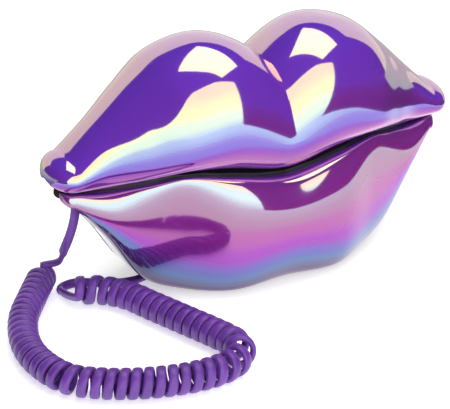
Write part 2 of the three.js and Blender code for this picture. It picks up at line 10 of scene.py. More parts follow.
import bmesh
import bpy
import numpy as np
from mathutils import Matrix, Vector


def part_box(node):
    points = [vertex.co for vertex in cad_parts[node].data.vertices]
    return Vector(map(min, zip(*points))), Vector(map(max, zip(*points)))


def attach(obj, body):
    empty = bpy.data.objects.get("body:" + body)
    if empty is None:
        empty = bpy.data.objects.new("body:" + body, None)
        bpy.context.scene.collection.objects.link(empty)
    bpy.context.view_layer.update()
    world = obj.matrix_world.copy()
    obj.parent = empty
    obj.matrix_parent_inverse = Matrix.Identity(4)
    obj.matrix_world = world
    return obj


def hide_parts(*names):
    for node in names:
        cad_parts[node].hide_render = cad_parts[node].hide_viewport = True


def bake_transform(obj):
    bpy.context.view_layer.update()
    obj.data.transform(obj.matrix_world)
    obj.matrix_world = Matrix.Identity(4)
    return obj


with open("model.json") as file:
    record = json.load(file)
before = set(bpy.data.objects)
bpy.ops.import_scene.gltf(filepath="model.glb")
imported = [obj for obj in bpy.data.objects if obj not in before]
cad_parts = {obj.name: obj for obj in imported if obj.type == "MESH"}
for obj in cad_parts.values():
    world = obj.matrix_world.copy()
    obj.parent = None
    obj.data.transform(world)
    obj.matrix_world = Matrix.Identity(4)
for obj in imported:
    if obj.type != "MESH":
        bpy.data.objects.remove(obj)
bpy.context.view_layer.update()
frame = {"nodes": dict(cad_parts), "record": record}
MM = 0.001

# ---- driving dimensions of the lips: the CAD's, except that the belly's keel hangs lower ----
HALF_LENGTH = 107.5  # the mouth from its middle to a corner
CAP_START = 97.0  # past this |x| a lip rounds off into its corner
END_Y = 5.0  # the corners sit a little behind the middle of the depth
WALL = 2.4  # moulded shell
GAP = 0.3  # clearance between separate pieces
SEAM_STEP = 3.0  # the base rim is this far below the handset rim
BASE_END = 102.0  # half length of the base
STATIONS = [0, 28, 50, 66, 82, 97]  # distances |x| at which the sections are given
HANDSET = {
    "crown": [121.5, 120.5, 114.5, 102, 87, 73],
    "ridge_y": [-4, -1.5, 2, 4.5, 5.5, 8],
    "wide_z": [74.5, 77.5, 74.5, 70.5, 67.5, 63.5],
    "front_y": [-37, -36, -32.5, -23, -13.5, -10.5],
    "back_y": [35, 38, 36.5, 30, 24, 21],
    "tuck": [12.5, 14.5, 12.5, 9, 6, 3.5],
}
SEAM_Z = [58, 62.5, 65, 61.5, 58.5, 59]
BASE = {
    "top_front_y": [-29, -29, -24, -16, -7, -1],
    "front_y": [-39.5, -37.5, -27, -20, -13.5, -5],
    "bottom_front_y": [-21.5, -25, -13, -6, -2, 2],
    "top_back_y": [33, 34, 30, 24, 17, 11],
    "back_y": [39.5, 38.5, 32.5, 26, 20, 13.5],
    "bottom_back_y": [25, 26, 20, 16, 12, 8],
    "wide_z": [34, 35, 37.5, 39.5, 43, 50],
    "keel_z": [0.9, 0.9, 2.2, 9, 31.5, 50],
}
CROWN_FULLNESS = 2.25  # superellipse exponent of the handset dome
BELLY_FULLNESS = 2.3  # superellipse exponent of the base belly
VALLEY_PINCH = 0.235  # how far the cupid's bow pulls the crown in
VALLEY_HALF_WIDTH = 36.0
VALLEY_RISE = 1.3  # power of the height by which the pinch grows
LEAST_BELLY = 1  # the keel stays at least this far below the widest line

# ---- how finely the shells are drawn ----
SECTIONS = 150  # along the mouth
QUARTER_STEPS = 24  # round a quarter of a section
RIM_RADIUS = 0.7  # rounding of the shells' moulded rims
RIM_POINTS = 5  # round one corner of a rim
RIM_SHARE = 0.45  # the most of an edge that the rounding at one of its ends takes
SHELL_CREASE = 38  # degrees: sharper edges of the shells stay crisp
MERGE_DISTANCE = 1e-6  # metres: closer points are one
SHORTEST_EDGE = 1e-7  # metres
TINY = 1e-9  # the least length that is divided by


# ---- camera ----
AZIMUTH, ELEVATION = math.radians(-29), math.radians(25)
DISTANCE = 0.95  # metres from the aim to the camera
LENS, SENSOR_WIDTH = 155.2, 36  # millimetres
AIM = Vector((-0.0059, 0.0197, 0.0214))
TOWARDS_CAMERA = Vector(
    (
        math.sin(AZIMUTH) * math.cos(ELEVATION),
        -math.cos(AZIMUTH) * math.cos(ELEVATION),
        math.sin(ELEVATION),
    )
)


def make_camera():
    data = bpy.data.cameras.new("camera")
    data.sensor_width = SENSOR_WIDTH
    data.lens = LENS
    data.clip_start, data.clip_end = 0.01, 100
    camera = bpy.data.objects.new("camera", data)
    bpy.context.scene.collection.objects.link(camera)
    camera.location = AIM + TOWARDS_CAMERA * DISTANCE
    camera.rotation_euler = TOWARDS_CAMERA.to_track_quat("Z", "Y").to_euler()
    bpy.context.scene.camera = camera


# ---- mesh helpers ----
def mesh_object(name, points, faces, smooth_below=None):
    """A mesh from points in metres. Edges sharper than smooth_below degrees stay crisp."""
    mesh = bpy.data.meshes.new(name)
    mesh.from_pydata([tuple(p) for p in points], [], faces)
    obj = bpy.data.objects.new(name, mesh)
    bpy.context.scene.collection.objects.link(obj)
    bm = bmesh.new()
    bm.from_mesh(mesh)
    bmesh.ops.remove_doubles(bm, verts=bm.verts, dist=MERGE_DISTANCE)
    bmesh.ops.dissolve_degenerate(bm, edges=bm.edges, dist=SHORTEST_EDGE)
    bmesh.ops.recalc_face_normals(bm, faces=bm.faces)
    bm.to_mesh(mesh)
    bm.free()
    if smooth_below is not None:
        smooth(obj, smooth_below)
    return obj


def smooth(obj, degrees):
    obj.data.shade_smooth()
    obj.data.set_sharp_from_angle(angle=math.radians(degrees))


def loft_loops(name, loops, smooth_below):
    """A tube through closed loops of equal count; the two end loops are capped."""
    count = len(loops[0])
    points = np.concatenate(loops) * MM
    faces = []
    for r in range(len(loops) - 1):
        for i in range(count):
            j = (i + 1) % count
            a, b = r * count + i, r * count + j
            faces.append((a, b, b + count, a + count))
    last = (len(loops) - 1) * count
    faces.append(tuple(range(count)))
    faces.append(tuple(last + i for i in reversed(range(count))))
    return mesh_object(name, points, faces, smooth_below)


def prism(name, outline, low, high):
    """A straight-sided cutter over an outline of (x, y) points."""
    count = len(outline)
    points = [(x * MM, y * MM, low * MM) for x, y in outline]
    points += [(x * MM, y * MM, high * MM) for x, y in outline]
    faces = [(i, (i + 1) % count, (i + 1) % count + count, i + count) for i in range(count)]
    faces += [tuple(reversed(range(count))), tuple(range(count, 2 * count))]
    return mesh_object(name, points, faces)


def rectangle(x0, y0, x1, y1):
    return [(x0, y0), (x1, y0), (x1, y1), (x0, y1)]


def block(name, low, high):
    """A box-shaped cutter between two opposite corners."""
    (x0, y0, z0), (x1, y1, z1) = low, high
    return prism(name, rectangle(x0, y0, x1, y1), z0, z1)


def combine(obj, cutter, operation):
    """Applies one boolean to obj's mesh and drops the cutter."""
    modifier = obj.modifiers.new("cut", "BOOLEAN")
    modifier.operation = operation
    modifier.solver = "EXACT"
    modifier.object = cutter
    evaluated = obj.evaluated_get(bpy.context.evaluated_depsgraph_get())
    mesh = bpy.data.meshes.new_from_object(evaluated)
    obj.modifiers.clear()
    obj.data = mesh
    bpy.data.objects.remove(cutter)


# ---- the lips' sections ----
def through(values, x):
    """A cubic through the stations, level at the middle of the mouth."""
    last = len(STATIONS) - 1
    place = min(abs(x), STATIONS[last])
    i = 0
    while i < last - 1 and place > STATIONS[i + 1]:
        i += 1

    def slope(k):
        if k == 0:
            return 0.0
        if k == last:
            return (values[last] - values[last - 1]) / (STATIONS[last] - STATIONS[last - 1])
        return (values[k + 1] - values[k - 1]) / (STATIONS[k + 1] - STATIONS[k - 1])

    span = STATIONS[i + 1] - STATIONS[i]
    s = (place - STATIONS[i]) / span
    return (
        (2 * s**3 - 3 * s**2 + 1) * values[i]
        + (s**3 - 2 * s**2 + s) * span * slope(i)
        + (3 * s**2 - 2 * s**3) * values[i + 1]
        + (s**3 - s**2) * span * slope(i + 1)
    )


def round_end(x, tip):
    """1 along the body, falling to 0 at the tip as a round end does."""
    q = min(max((abs(x) - CAP_START) / (tip - CAP_START), 0), 1)
    return math.sqrt(1 - q * q)


def quarter(steps):
    return [(i + 1) / steps * math.pi / 2 for i in range(steps)]


def signed_power(value, power):
    """A power that keeps the sign, for superellipses."""
    return math.copysign(abs(value) ** power, value)


def handset_line(x, inset):
    """Open section of the handset at x, from the front rim over the crown to the back rim."""
    crown = through(HANDSET["crown"], x) - inset
    ridge = through(HANDSET["ridge_y"], x)
    wide = through(HANDSET["wide_z"], x)
    tuck = through(HANDSET["tuck"], x)
    seam = through(SEAM_Z, x)
    power = 2 / CROWN_FULLNESS

    def side(edge, sign):
        rim = edge - sign * tuck
        line = [(rim, seam)]
        for a in quarter(QUARTER_STEPS // 2):
            line.append((rim + sign * tuck * math.sin(a), wide - (wide - seam) * math.cos(a)))
        for a in quarter(QUARTER_STEPS):
            across = max(math.cos(a), 0) ** power
            height = wide + (crown - wide) * math.sin(a) ** power
            line.append((ridge + (edge - ridge) * across, height))
        return line

    front = side(through(HANDSET["front_y"], x) + inset, -1)
    back = side(through(HANDSET["back_y"], x) - inset, 1)
    bow = max(0, 1 - abs(x) / VALLEY_HALF_WIDTH) ** 2
    end = round_end(x, HALF_LENGTH - inset)
    points = []
    for y, z in front + back[-2::-1]:
        height = min(max((z - seam) / (crown - seam), 0), 1)
        pinch = 1 - VALLEY_PINCH * bow * height**VALLEY_RISE
        raised = seam + (z - seam) * pinch
        points.append((x, END_Y + (y * pinch - END_Y) * end, wide + (raised - wide) * end))
    return points


def base_line(x, inset):
    """Open section of the base at x, from the front rim under the keel to the back rim."""
    rim = through(SEAM_Z, x) - SEAM_STEP
    wide = through(BASE["wide_z"], x)
    keel = min(through(BASE["keel_z"], x), wide - LEAST_BELLY) + inset
    power = 2 / BELLY_FULLNESS

    def side(place, sign):
        top, edge, bottom = (
            through(BASE[key + place], x) - sign * inset for key in ("top_", "", "bottom_")
        )
        line = [(top, rim)]
        for a in quarter(QUARTER_STEPS // 2):
            line.append((top + (edge - top) * math.sin(a), wide + (rim - wide) * math.cos(a)))
        for a in quarter(QUARTER_STEPS):
            across = max(math.cos(a), 0) ** power
            height = wide - (wide - keel) * math.sin(a) ** power
            line.append((bottom + (edge - bottom) * across, height))
        return line

    end = round_end(x, BASE_END - inset)
    line = side("front_y", -1) + side("back_y", 1)[::-1]
    return [(x, END_Y + (y - END_Y) * end, rim + (z - rim) * end) for y, z in line]


def rounded(before, corner, after):
    """Points that turn a corner of a section with the moulded rim's rounding."""
    before, corner, after = (np.array(p) for p in (before, corner, after))
    ends = []
    for edge in (before - corner, after - corner):
        length = np.linalg.norm(edge)
        reach = min(RIM_RADIUS, RIM_SHARE * length)
        ends.append(corner + edge * reach / max(length, TINY))
    near, far = ends
    steps = np.linspace(0, 1, RIM_POINTS)[:, None]
    return list((1 - steps) ** 2 * near + 2 * steps * (1 - steps) * corner + steps**2 * far)


def shell_loop(outer, inner):
    """One closed wall section: the outside, the far rim, back along the inside, the near rim."""
    inside = inner[::-1]
    loop = [np.array(p) for p in outer[1:-1]]
    loop += rounded(outer[-2], outer[-1], inside[0])
    loop += rounded(outer[-1], inside[0], inside[1])
    loop += [np.array(p) for p in inside[1:-1]]
    loop += rounded(inside[-2], inside[-1], outer[0])
    loop += rounded(inside[-1], outer[0], outer[1])
    return np.array(loop)


def lip_shell(name, line, half):
    """A hollow lip, open along its rim."""
    loops = []
    for i in range(SECTIONS + 1):
        t = math.sin((2 * i / SECTIONS - 1) * math.pi / 2)
        loops.append(shell_loop(line(half * t, 0), line((half - WALL) * t, WALL)))
    return loft_loops(name, loops, SHELL_CREASE)


# ---- shells, with the CAD's openings ----
SPLIT_BULGE, SPLIT_HALF_WIDTH = 16, 92  # the line between the violet front and the black back
SPLIT_POINTS = 61
CLEAR_X, CLEAR_Y = 130, 90  # well outside the base
CLEAR_LOW, CLEAR_HIGH = -5, 85
OPENING = {"half_length": 44, "half_depth": 14.5, "y": 4, "high": 9}  # for the bottom cover
OPENING_POINTS = 96
OPENING_POWER = 0.8
NOTCH = {"x": -92, "y": 6, "radius": 4, "past_end": -112, "low": 35, "high": 75}
MOUSE_HOLE = {"radius": 3.9, "left": -66, "right": -43, "y": -1, "z": 5.2}
JACK = {"x": 20, "half_width": 7, "low": 22.2, "high": 34.2, "clearance": 0.4}
JACK_DEPTH = (25, 55)  # from inside the wall to outside it
SWITCH_X = (-8, -24)
SWITCH_SLOT = {"left": 2.5, "right": 7.5, "low": 14, "high": 18}  # room for the knob's travel
SWITCH_DEPTH = (30, 60)


def split_at(x):
    """Where the violet front meets the black back cover, in plan."""
    return END_Y + SPLIT_BULGE * (1 - min(abs(x) / SPLIT_HALF_WIDTH, 1) ** 2)


def base_region(shift, far):
    """Everything on one side of the split line."""
    xs = np.linspace(-CLEAR_X, CLEAR_X, SPLIT_POINTS)
    split = [(x, split_at(x) + shift) for x in xs]
    return prism("region", [(-CLEAR_X, far), *split, (CLEAR_X, far)], CLEAR_LOW, CLEAR_HIGH)


def circle(x, y, radius, count=48):
    turns = [2 * math.pi * i / count for i in range(count)]
    return [(x + radius * math.cos(a), y + radius * math.sin(a)) for a in turns]


def bottom_opening():
    """The superellipse that the bottom cover sits in."""
    outline = []
    for i in range(OPENING_POINTS):
        a = 2 * math.pi * i / OPENING_POINTS
        x = OPENING["half_length"] * signed_power(math.cos(a), OPENING_POWER)
        y = OPENING["y"] + OPENING["half_depth"] * signed_power(math.sin(a), OPENING_POWER)
        outline.append((x, y))
    return prism("opening", outline, 0, OPENING["high"])


def mouse_hole():
    """The cord's way into the base, low on the left: an upright prism laid over along X."""
    hole = prism("hole", circle(0, 0, MOUSE_HOLE["radius"]), MOUSE_HOLE["left"], MOUSE_HOLE["right"])
    for v in hole.data.vertices:
        x, y, z = v.co
        v.co = (z, x + MOUSE_HOLE["y"] * MM, y + MOUSE_HOLE["z"] * MM)
    return hole


def cord_notch():
    """Cutters for the open notch in the left corner that lets the handset cord hang down."""
    x, y, radius = NOTCH["x"], NOTCH["y"], NOTCH["radius"]
    low, high = NOTCH["low"], NOTCH["high"]
    return [
        block("notch", (NOTCH["past_end"], y - radius, low), (x, y + radius, high)),
        prism("notch_end", circle(x, y, radius), low, high),
    ]


def cut_base(obj, region_shift, region_far, extra=()):
    combine(obj, base_region(region_shift, region_far), "INTERSECT")
    for cutter in (bottom_opening(), *cord_notch(), mouse_hole(), *extra):
        combine(obj, cutter, "DIFFERENCE")
    smooth(obj, SHELL_CREASE)


def back_holes():
    """Openings for the line jack and the two slide switches."""
    near, far = JACK_DEPTH
    reach = JACK["half_width"] + JACK["clearance"]
    low = (JACK["x"] - reach, near, JACK["low"] - JACK["clearance"])
    high = (JACK["x"] + reach, far, JACK["high"] + JACK["clearance"])
    holes = [block("jack", low, high)]
    near, far = SWITCH_DEPTH
    for x in SWITCH_X:
        low = (x - SWITCH_SLOT["left"], near, SWITCH_SLOT["low"])
        high = (x + SWITCH_SLOT["right"], far, SWITCH_SLOT["high"])
        holes.append(block("switch", low, high))
    return holes


def make_shells():
    handset = lip_shell("handset_shell_gloss", handset_line, HALF_LENGTH)
    front = lip_shell("base_front_gloss", base_line, BASE_END)
    back = front.copy()
    back.data = front.data.copy()
    back.name = "base_back_matte"
    bpy.context.scene.collection.objects.link(back)
    cut_base(front, 0, -CLEAR_Y)
    cut_base(back, GAP, CLEAR_Y, back_holes())
    for obj, body, node, slot in (
        (handset, "handset", "handset_shell", "violet_shell"),
        (front, "base", "base_front_shell", "violet_shell"),
        (back, "base", "base_back_cover", "black_plastic"),
    ):
        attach(obj, body)
        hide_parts(node)
    return handset, front, back


# ---- handset cord ----
COIL_Z = 7.1  # height of the coil's centre line above the table
TURN_RADIUS = 5.65  # from the coil's centre line to the middle of the flat wire
WIRE_WIDTH, WIRE_THICKNESS = 4.4, 2.6
CLOSED_PITCH = 4.7  # turns that touch
OPEN_PITCH = 5.15  # turns on a straight stretch
TIGHTEST_SQUEEZE = 0.3  # of a turn's pitch, inside a bend
POINTS_PER_TURN = 26
ROUTE_STEPS = 60  # between two points of the coil's route
EVEN_POINTS = 6000  # along the whole route
BEND_WINDOW = 200  # even points over which the bend is smoothed
LEAD_STEPS = 14  # between two points of a lead
WIRE_SIDES = 14
WIRE_POWER = 0.75  # squares off the wire's oval
CORD_CREASE = 60  # degrees
COIL_ROUTE = [
    (-105, 18), (-117, 2), (-130, -17), (-138, -39), (-139, -57), (-134, -75), (-122, -86),
    (-105, -94.5), (-86, -99), (-70, -98), (-60, -92), (-57, -82), (-60, -70), (-66, -53),
    (-73, -33), (-79, -17), (-89, -6), (-97, -3),
]
HANDSET_LEAD = [
    (-92, 6, 49.7), (-92.1, 6.1, 44), (-92.8, 7.2, 37), (-94.3, 9, 29.5), (-96.3, 11.4, 22),
    (-97.8, 14.4, 15),
]
BASE_LEAD = [
    (-100, 7.2, 2.9), (-97.8, 12, 2.3), (-91.5, 13.4, 2.3), (-85, 10.8, 2.3),
    (-78, 6.6, 2.3), (-71, 2.6, 2.6), (-65, -0.2, 3.8), (-60, -1, 4.9), (-57.4, -1, 5.1),
]


def catmull(points, per_span):
    """A centripetal Catmull-Rom curve through points."""
    points = [np.array(p, float) for p in points]
    ends = [2 * points[0] - points[1], *points, 2 * points[-1] - points[-2]]
    line = []
    for p0, p1, p2, p3 in zip(ends, ends[1:], ends[2:], ends[3:]):
        k = [math.sqrt(np.linalg.norm(b - a)) for a, b in ((p0, p1), (p1, p2), (p2, p3))]
        t1, t2, t3 = k[0], k[0] + k[1], k[0] + k[1] + k[2]
        for u in np.linspace(t1, t2, per_span, endpoint=False):
            a1 = (t1 - u) / t1 * p0 + u / t1 * p1
            a2 = (t2 - u) / (t2 - t1) * p1 + (u - t1) / (t2 - t1) * p2
            a3 = (t3 - u) / (t3 - t2) * p2 + (u - t2) / (t3 - t2) * p3
            b1 = (t2 - u) / t2 * a1 + u / t2 * a2
            b2 = (t3 - u) / (t3 - t1) * a2 + (u - t1) / (t3 - t1) * a3
            line.append((t2 - u) / (t2 - t1) * b1 + (u - t1) / (t2 - t1) * b2)
    line.append(points[-1])
    return np.array(line)


def coil_turns():
    """Points and outward directions of the curly length, whose turns fan open round each bend."""
    route = catmull(COIL_ROUTE, ROUTE_STEPS)
    step = np.linalg.norm(np.diff(route, axis=0), axis=1)
    place = np.concatenate([[0], np.cumsum(step)])
    even = np.linspace(0, place[-1], EVEN_POINTS)
    x, y = (np.interp(even, place, route[:, k]) for k in (0, 1))
    kernel = np.hanning(BEND_WINDOW) / np.hanning(BEND_WINDOW).sum()
    margin = BEND_WINDOW // 2
    dx, dy = np.gradient(x, even), np.gradient(y, even)
    bend = np.abs(dx * np.gradient(dy, even) - dy * np.gradient(dx, even))
    bend = np.convolve(np.pad(bend, margin, mode="edge"), kernel, mode="same")[margin:-margin]
    squeeze = np.clip(1 - bend * (TURN_RADIUS + WIRE_THICKNESS / 2), TIGHTEST_SQUEEZE, 1)
    pitch = np.maximum(OPEN_PITCH, CLOSED_PITCH / squeeze)
    turn = np.concatenate([[0], np.cumsum(np.diff(even) / pitch[1:])])
    last = math.floor(turn[-1] * 4) / 4  # a whole number of quarter turns
    angles = np.linspace(0, last, int(turn[-1] * POINTS_PER_TURN))
    at = np.interp(angles, turn, even)
    centre = np.stack([np.interp(at, even, x), np.interp(at, even, y), np.full(len(at), COIL_Z)], 1)
    tangent = np.stack([np.interp(at, even, dx), np.interp(at, even, dy), np.zeros(len(at))], 1)
    tangent /= np.linalg.norm(tangent, axis=1)[:, None]
    side = np.stack([tangent[:, 1], -tangent[:, 0], np.zeros(len(at))], 1)
    up = np.array([0, 0, 1.0])
    swing = 2 * math.pi * angles + math.pi / 2
    outward = np.cos(swing)[:, None] * side + np.sin(swing)[:, None] * up
    return centre + TURN_RADIUS * outward, outward


def cord_path():
    """The whole wire from the handset to the base, with the flat side's direction at each point."""
    turns, outward = coil_turns()
    down = catmull([*HANDSET_LEAD, tuple(turns[0]), tuple(turns[3])], LEAD_STEPS)[:-LEAD_STEPS]
    back = catmull([tuple(turns[-4]), tuple(turns[-1]), *BASE_LEAD], LEAD_STEPS)[LEAD_STEPS:]
    points = np.concatenate([down[:-1], turns, back[1:]])
    lead_in = np.linspace(0, 1, len(down) - 1)[:, None]
    lead_out = np.linspace(1, 0, len(back) - 1)[:, None]
    facing = np.concatenate(
        [
            (1 - lead_in) * np.array([0, -1.0, 0]) + lead_in * outward[0],
            outward,
            lead_out * outward[-1] + (1 - lead_out) * np.array([0, 0, 1.0]),
        ]
    )
    return points, facing


def make_cord():
    points, facing = cord_path()
    tangent = np.gradient(points, axis=0)
    tangent /= np.linalg.norm(tangent, axis=1)[:, None]
    facing = facing - (facing * tangent).sum(1)[:, None] * tangent
    facing /= np.linalg.norm(facing, axis=1)[:, None]
    across = np.cross(tangent, facing)
    loops = []
    for p, n, b in zip(points, facing, across):
        loop = []
        for i in range(WIRE_SIDES):
            a = 2 * math.pi * i / WIRE_SIDES
            wide = WIRE_WIDTH / 2 * signed_power(math.cos(a), WIRE_POWER)
            thick = WIRE_THICKNESS / 2 * signed_power(math.sin(a), WIRE_POWER)
            loop.append(p + b * wide + n * thick)
        loops.append(np.array(loop))
    cord = loft_loops("handset_cord", loops, CORD_CREASE)
    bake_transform(cord)
    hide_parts("handset_cord_lead", "handset_cord_coil", "base_cord_lead")
    return cord


# ---- materials ----
def new_material(name):
    material = bpy.data.materials.new(name)
    material.use_nodes = True
    tree = material.node_tree
    tree.nodes.clear()
    return material, tree


def ramp(tree, stops, factor):
    """A colour ramp from (place, colour) stops."""
    node = tree.nodes.new("ShaderNodeValToRGB")
    node.color_ramp.interpolation = "EASE"
    elements = node.color_ramp.elements
    while len(elements) > 1:
        elements.remove(elements[-1])
    for k, (place, colour) in enumerate(stops):
        element = elements[0] if k == 0 else elements.new(place)
        element.position = place
        element.color = (*colour, 1)
    tree.links.new(factor, node.inputs["Fac"])
    return node.outputs["Color"]


def noise(tree, scale, detail=3.0):
    where = tree.nodes.new("ShaderNodeTexCoord")
    node = tree.nodes.new("ShaderNodeTexNoise")
    node.inputs["Scale"].default_value = scale
    node.inputs["Detail"].default_value = detail
    tree.links.new(where.outputs["Object"], node.inputs["Vector"])
    return node.outputs["Fac"]


def mottle(tree, dark, light, scale):
    """A shade that drifts between two colours; a larger scale makes smaller patches."""
    return ramp(tree, [(0.3, dark), (0.7, light)], noise(tree, scale))


def spread(tree, value, low, high):
    """value, from 0 to 1, stretched to run from low to high."""
    node = tree.nodes.new("ShaderNodeMapRange")
    node.inputs["To Min"].default_value = low
    node.inputs["To Max"].default_value = high
    tree.links.new(value, node.inputs["Value"])
    return node.outputs["Result"]


def maths(tree, operation, first, second):
    node = tree.nodes.new("ShaderNodeMath")
    node.operation = operation
    for socket, value in zip(node.inputs, (first, second)):
        if isinstance(value, (int, float)):
            socket.default_value = value
        else:
            tree.links.new(value, socket)
    return node.outputs[0]


def fine_grain(tree, scale, depth):
    """A moulded grain, its depth in metres."""
    height = noise(tree, scale)
    node = tree.nodes.new("ShaderNodeBump")
    node.inputs["Strength"].default_value = 0.3
    node.inputs["Distance"].default_value = depth
    tree.links.new(height, node.inputs["Height"])
    return node.outputs["Normal"]


def surface(tree, colour, roughness, metallic=0.0, coat=0.0, normal=None, **values):
    """A Principled shader; colour and roughness may be sockets or plain values."""
    node = tree.nodes.new("ShaderNodeBsdfPrincipled")
    for name, value in (("Base Color", colour), ("Roughness", roughness)):
        if isinstance(value, bpy.types.NodeSocket):
            tree.links.new(value, node.inputs[name])
        elif name == "Base Color":
            node.inputs[name].default_value = (*value, 1)
        else:
            node.inputs[name].default_value = value
    node.inputs["Metallic"].default_value = metallic
    node.inputs["Coat Weight"].default_value = coat
    node.inputs["Coat Roughness"].default_value = 0.03
    for name, value in values.items():
        node.inputs[name.replace("_", " ")].default_value = value
    if normal is not None:
        tree.links.new(normal, node.inputs["Normal"])
    return node.outputs["BSDF"]


def show(tree, shader):
    output = tree.nodes.new("ShaderNodeOutputMaterial")
    tree.links.new(shader, output.inputs["Surface"])


FILM_SHARE = 0.5  # how much of the lacquer is mirror film over the paint
SLOPE_DRIFT = 0.02  # how far the colour bands wander from an even slope
PAINT_ROUGHNESS = 0.16
FILM_ROUGHNESS = (0.05, 0.08)


def lacquer(name, paint_stops_with_painted_light, film_painted_reflection_stops):
    """Gloss violet paint under a dichroic film. Both take their colour from the slope of the
    surface: painted reflection bands and painted shade, which stand in for the film's change of
    colour with the view.
    """
    material, tree = new_material(name)
    where = tree.nodes.new("ShaderNodeTexCoord")
    split = tree.nodes.new("ShaderNodeSeparateXYZ")
    tree.links.new(where.outputs["Normal"], split.inputs["Vector"])
    slope = maths(tree, "MULTIPLY_ADD", split.outputs["Z"], 0.5)
    slope.node.inputs[2].default_value = 0.5
    drift = spread(tree, noise(tree, 9, detail=1), -SLOPE_DRIFT, SLOPE_DRIFT)
    slope = maths(tree, "ADD", slope, drift)
    # The paint's colour by slope carries painted shade and a painted reflection.
    paint_layer_with_painted_light = surface(tree, ramp(tree, paint_stops_with_painted_light, slope), PAINT_ROUGHNESS, coat=1.0)
    film_roughness = spread(tree, noise(tree, 40, detail=2), *FILM_ROUGHNESS)
    # The film's colour by slope is painted reflection bands.
    film_layer_with_painted_reflections = surface(tree, ramp(tree, film_painted_reflection_stops, slope), film_roughness, metallic=1.0)
    mix = tree.nodes.new("ShaderNodeMixShader")
    mix.inputs["Fac"].default_value = FILM_SHARE
    tree.links.new(paint_layer_with_painted_light, mix.inputs[1])
    tree.links.new(film_layer_with_painted_reflections, mix.inputs[2])
    show(tree, mix.outputs[0])
    return material


# Colours by slope: 0 faces straight down, 0.5 is upright, 1 faces straight up. Besides the violet
# lacquer they hold painted light: painted reflection bands and painted shade.
# Handset paint: violet lacquer with a painted lavender reflection on the faces looking down and
# painted shade, darker, on the steep faces round upright.
HANDSET_PAINT_WITH_PAINTED_LIGHT = [
    (0.0, (0.42, 0.18, 0.80)),
    (0.2, (0.20, 0.06, 0.40)),
    (0.45, (0.14, 0.02, 0.30)),
    (0.58, (0.25, 0.02, 0.38)),
    (0.68, (0.21, 0.035, 0.66)),
    (1.0, (0.19, 0.045, 0.80)),
]
# Handset film: painted reflection bands, lavender and pink under the lip, dark plum near upright,
# then blue, cyan and yellow towards the top.
HANDSET_FILM_PAINTED_REFLECTIONS = [
    (0.05, (0.50, 0.20, 0.90)),
    (0.12, (0.90, 0.40, 1.0)),
    (0.20, (0.94, 0.38, 0.70)),
    (0.30, (0.44, 0.13, 0.30)),
    (0.38, (0.36, 0.08, 0.38)),
    (0.45, (0.26, 0.08, 0.50)),
    (0.51, (0.18, 0.22, 0.66)),
    (0.56, (0.34, 0.64, 0.80)),
    (0.61, (0.66, 1.0, 0.52)),
    (0.68, (1.0, 1.0, 0.12)),
    (0.77, (1.0, 0.76, 0.12)),
    (0.86, (1.0, 0.70, 0.18)),
    (1.0, (0.95, 0.64, 0.25)),
]
# Base paint: plum lacquer with painted shade, near black on the faces looking down.
BASE_PAINT_WITH_PAINTED_SHADE = [
    (0.0, (0.05, 0.02, 0.08)),
    (0.35, (0.11, 0.03, 0.20)),
    (0.55, (0.32, 0.016, 0.34)),
    (0.75, (0.29, 0.024, 0.36)),
    (1.0, (0.18, 0.026, 0.44)),
]
# Base film: painted shade, near black, under the belly, then painted reflection bands of blue,
# violet, tan, cyan and cream upwards.
BASE_FILM_PAINTED_REFLECTIONS_AND_SHADE = [
    (0.05, (0.05, 0.02, 0.08)),
    (0.20, (0.12, 0.06, 0.20)),
    (0.29, (0.15, 0.24, 0.34)),
    (0.34, (0.11, 0.32, 0.54)),
    (0.39, (0.15, 0.22, 0.62)),
    (0.45, (0.42, 0.07, 0.56)),
    (0.49, (0.46, 0.15, 0.34)),
    (0.53, (0.36, 0.30, 0.27)),
    (0.58, (0.36, 0.40, 0.38)),
    (0.66, (0.56, 0.92, 0.80)),
    (0.80, (0.96, 0.86, 0.40)),
    (1.0, (0.90, 0.66, 0.50)),
]


SPOT = 0.18  # how far a plastic's shade strays either way, as a share
WEAR = 0.05  # how far its roughness strays either way


def plastic(name, colour, roughness, grain=700):
    """Moulded plastic or rubber: a fine grain and a slight change of shade over the piece."""
    material, tree = new_material(name)
    dark = tuple(c * (1 - SPOT) for c in colour)
    light = tuple(min(c * (1 + SPOT), 1) for c in colour)
    shade = mottle(tree, dark, light, scale=35)
    rough = spread(tree, noise(tree, 90), roughness - WEAR, roughness + WEAR)
    show(tree, surface(tree, shade, rough, normal=fine_grain(tree, grain, depth=0.00005)))
    return material


def metal(name, colour, roughness):
    """Plain metal whose shine varies a little from spot to spot."""
    material, tree = new_material(name)
    dull = tuple(0.88 * c for c in colour)
    shade = mottle(tree, dull, colour, scale=120)
    rough = spread(tree, noise(tree, 900), roughness - 0.06, roughness + 0.08)
    show(tree, surface(tree, shade, rough, metallic=1.0))
    return material


def cord_vinyl():
    """Satin purple vinyl, a little darker and duller in patches."""
    material, tree = new_material("cord_vinyl")
    shade = mottle(tree, (0.10, 0.024, 0.24), (0.14, 0.036, 0.32), scale=60)
    rough = spread(tree, noise(tree, 200), 0.34, 0.46)
    grain = fine_grain(tree, 1500, depth=0.00003)
    show(tree, surface(tree, shade, rough, coat=0.15, normal=grain))
    return material


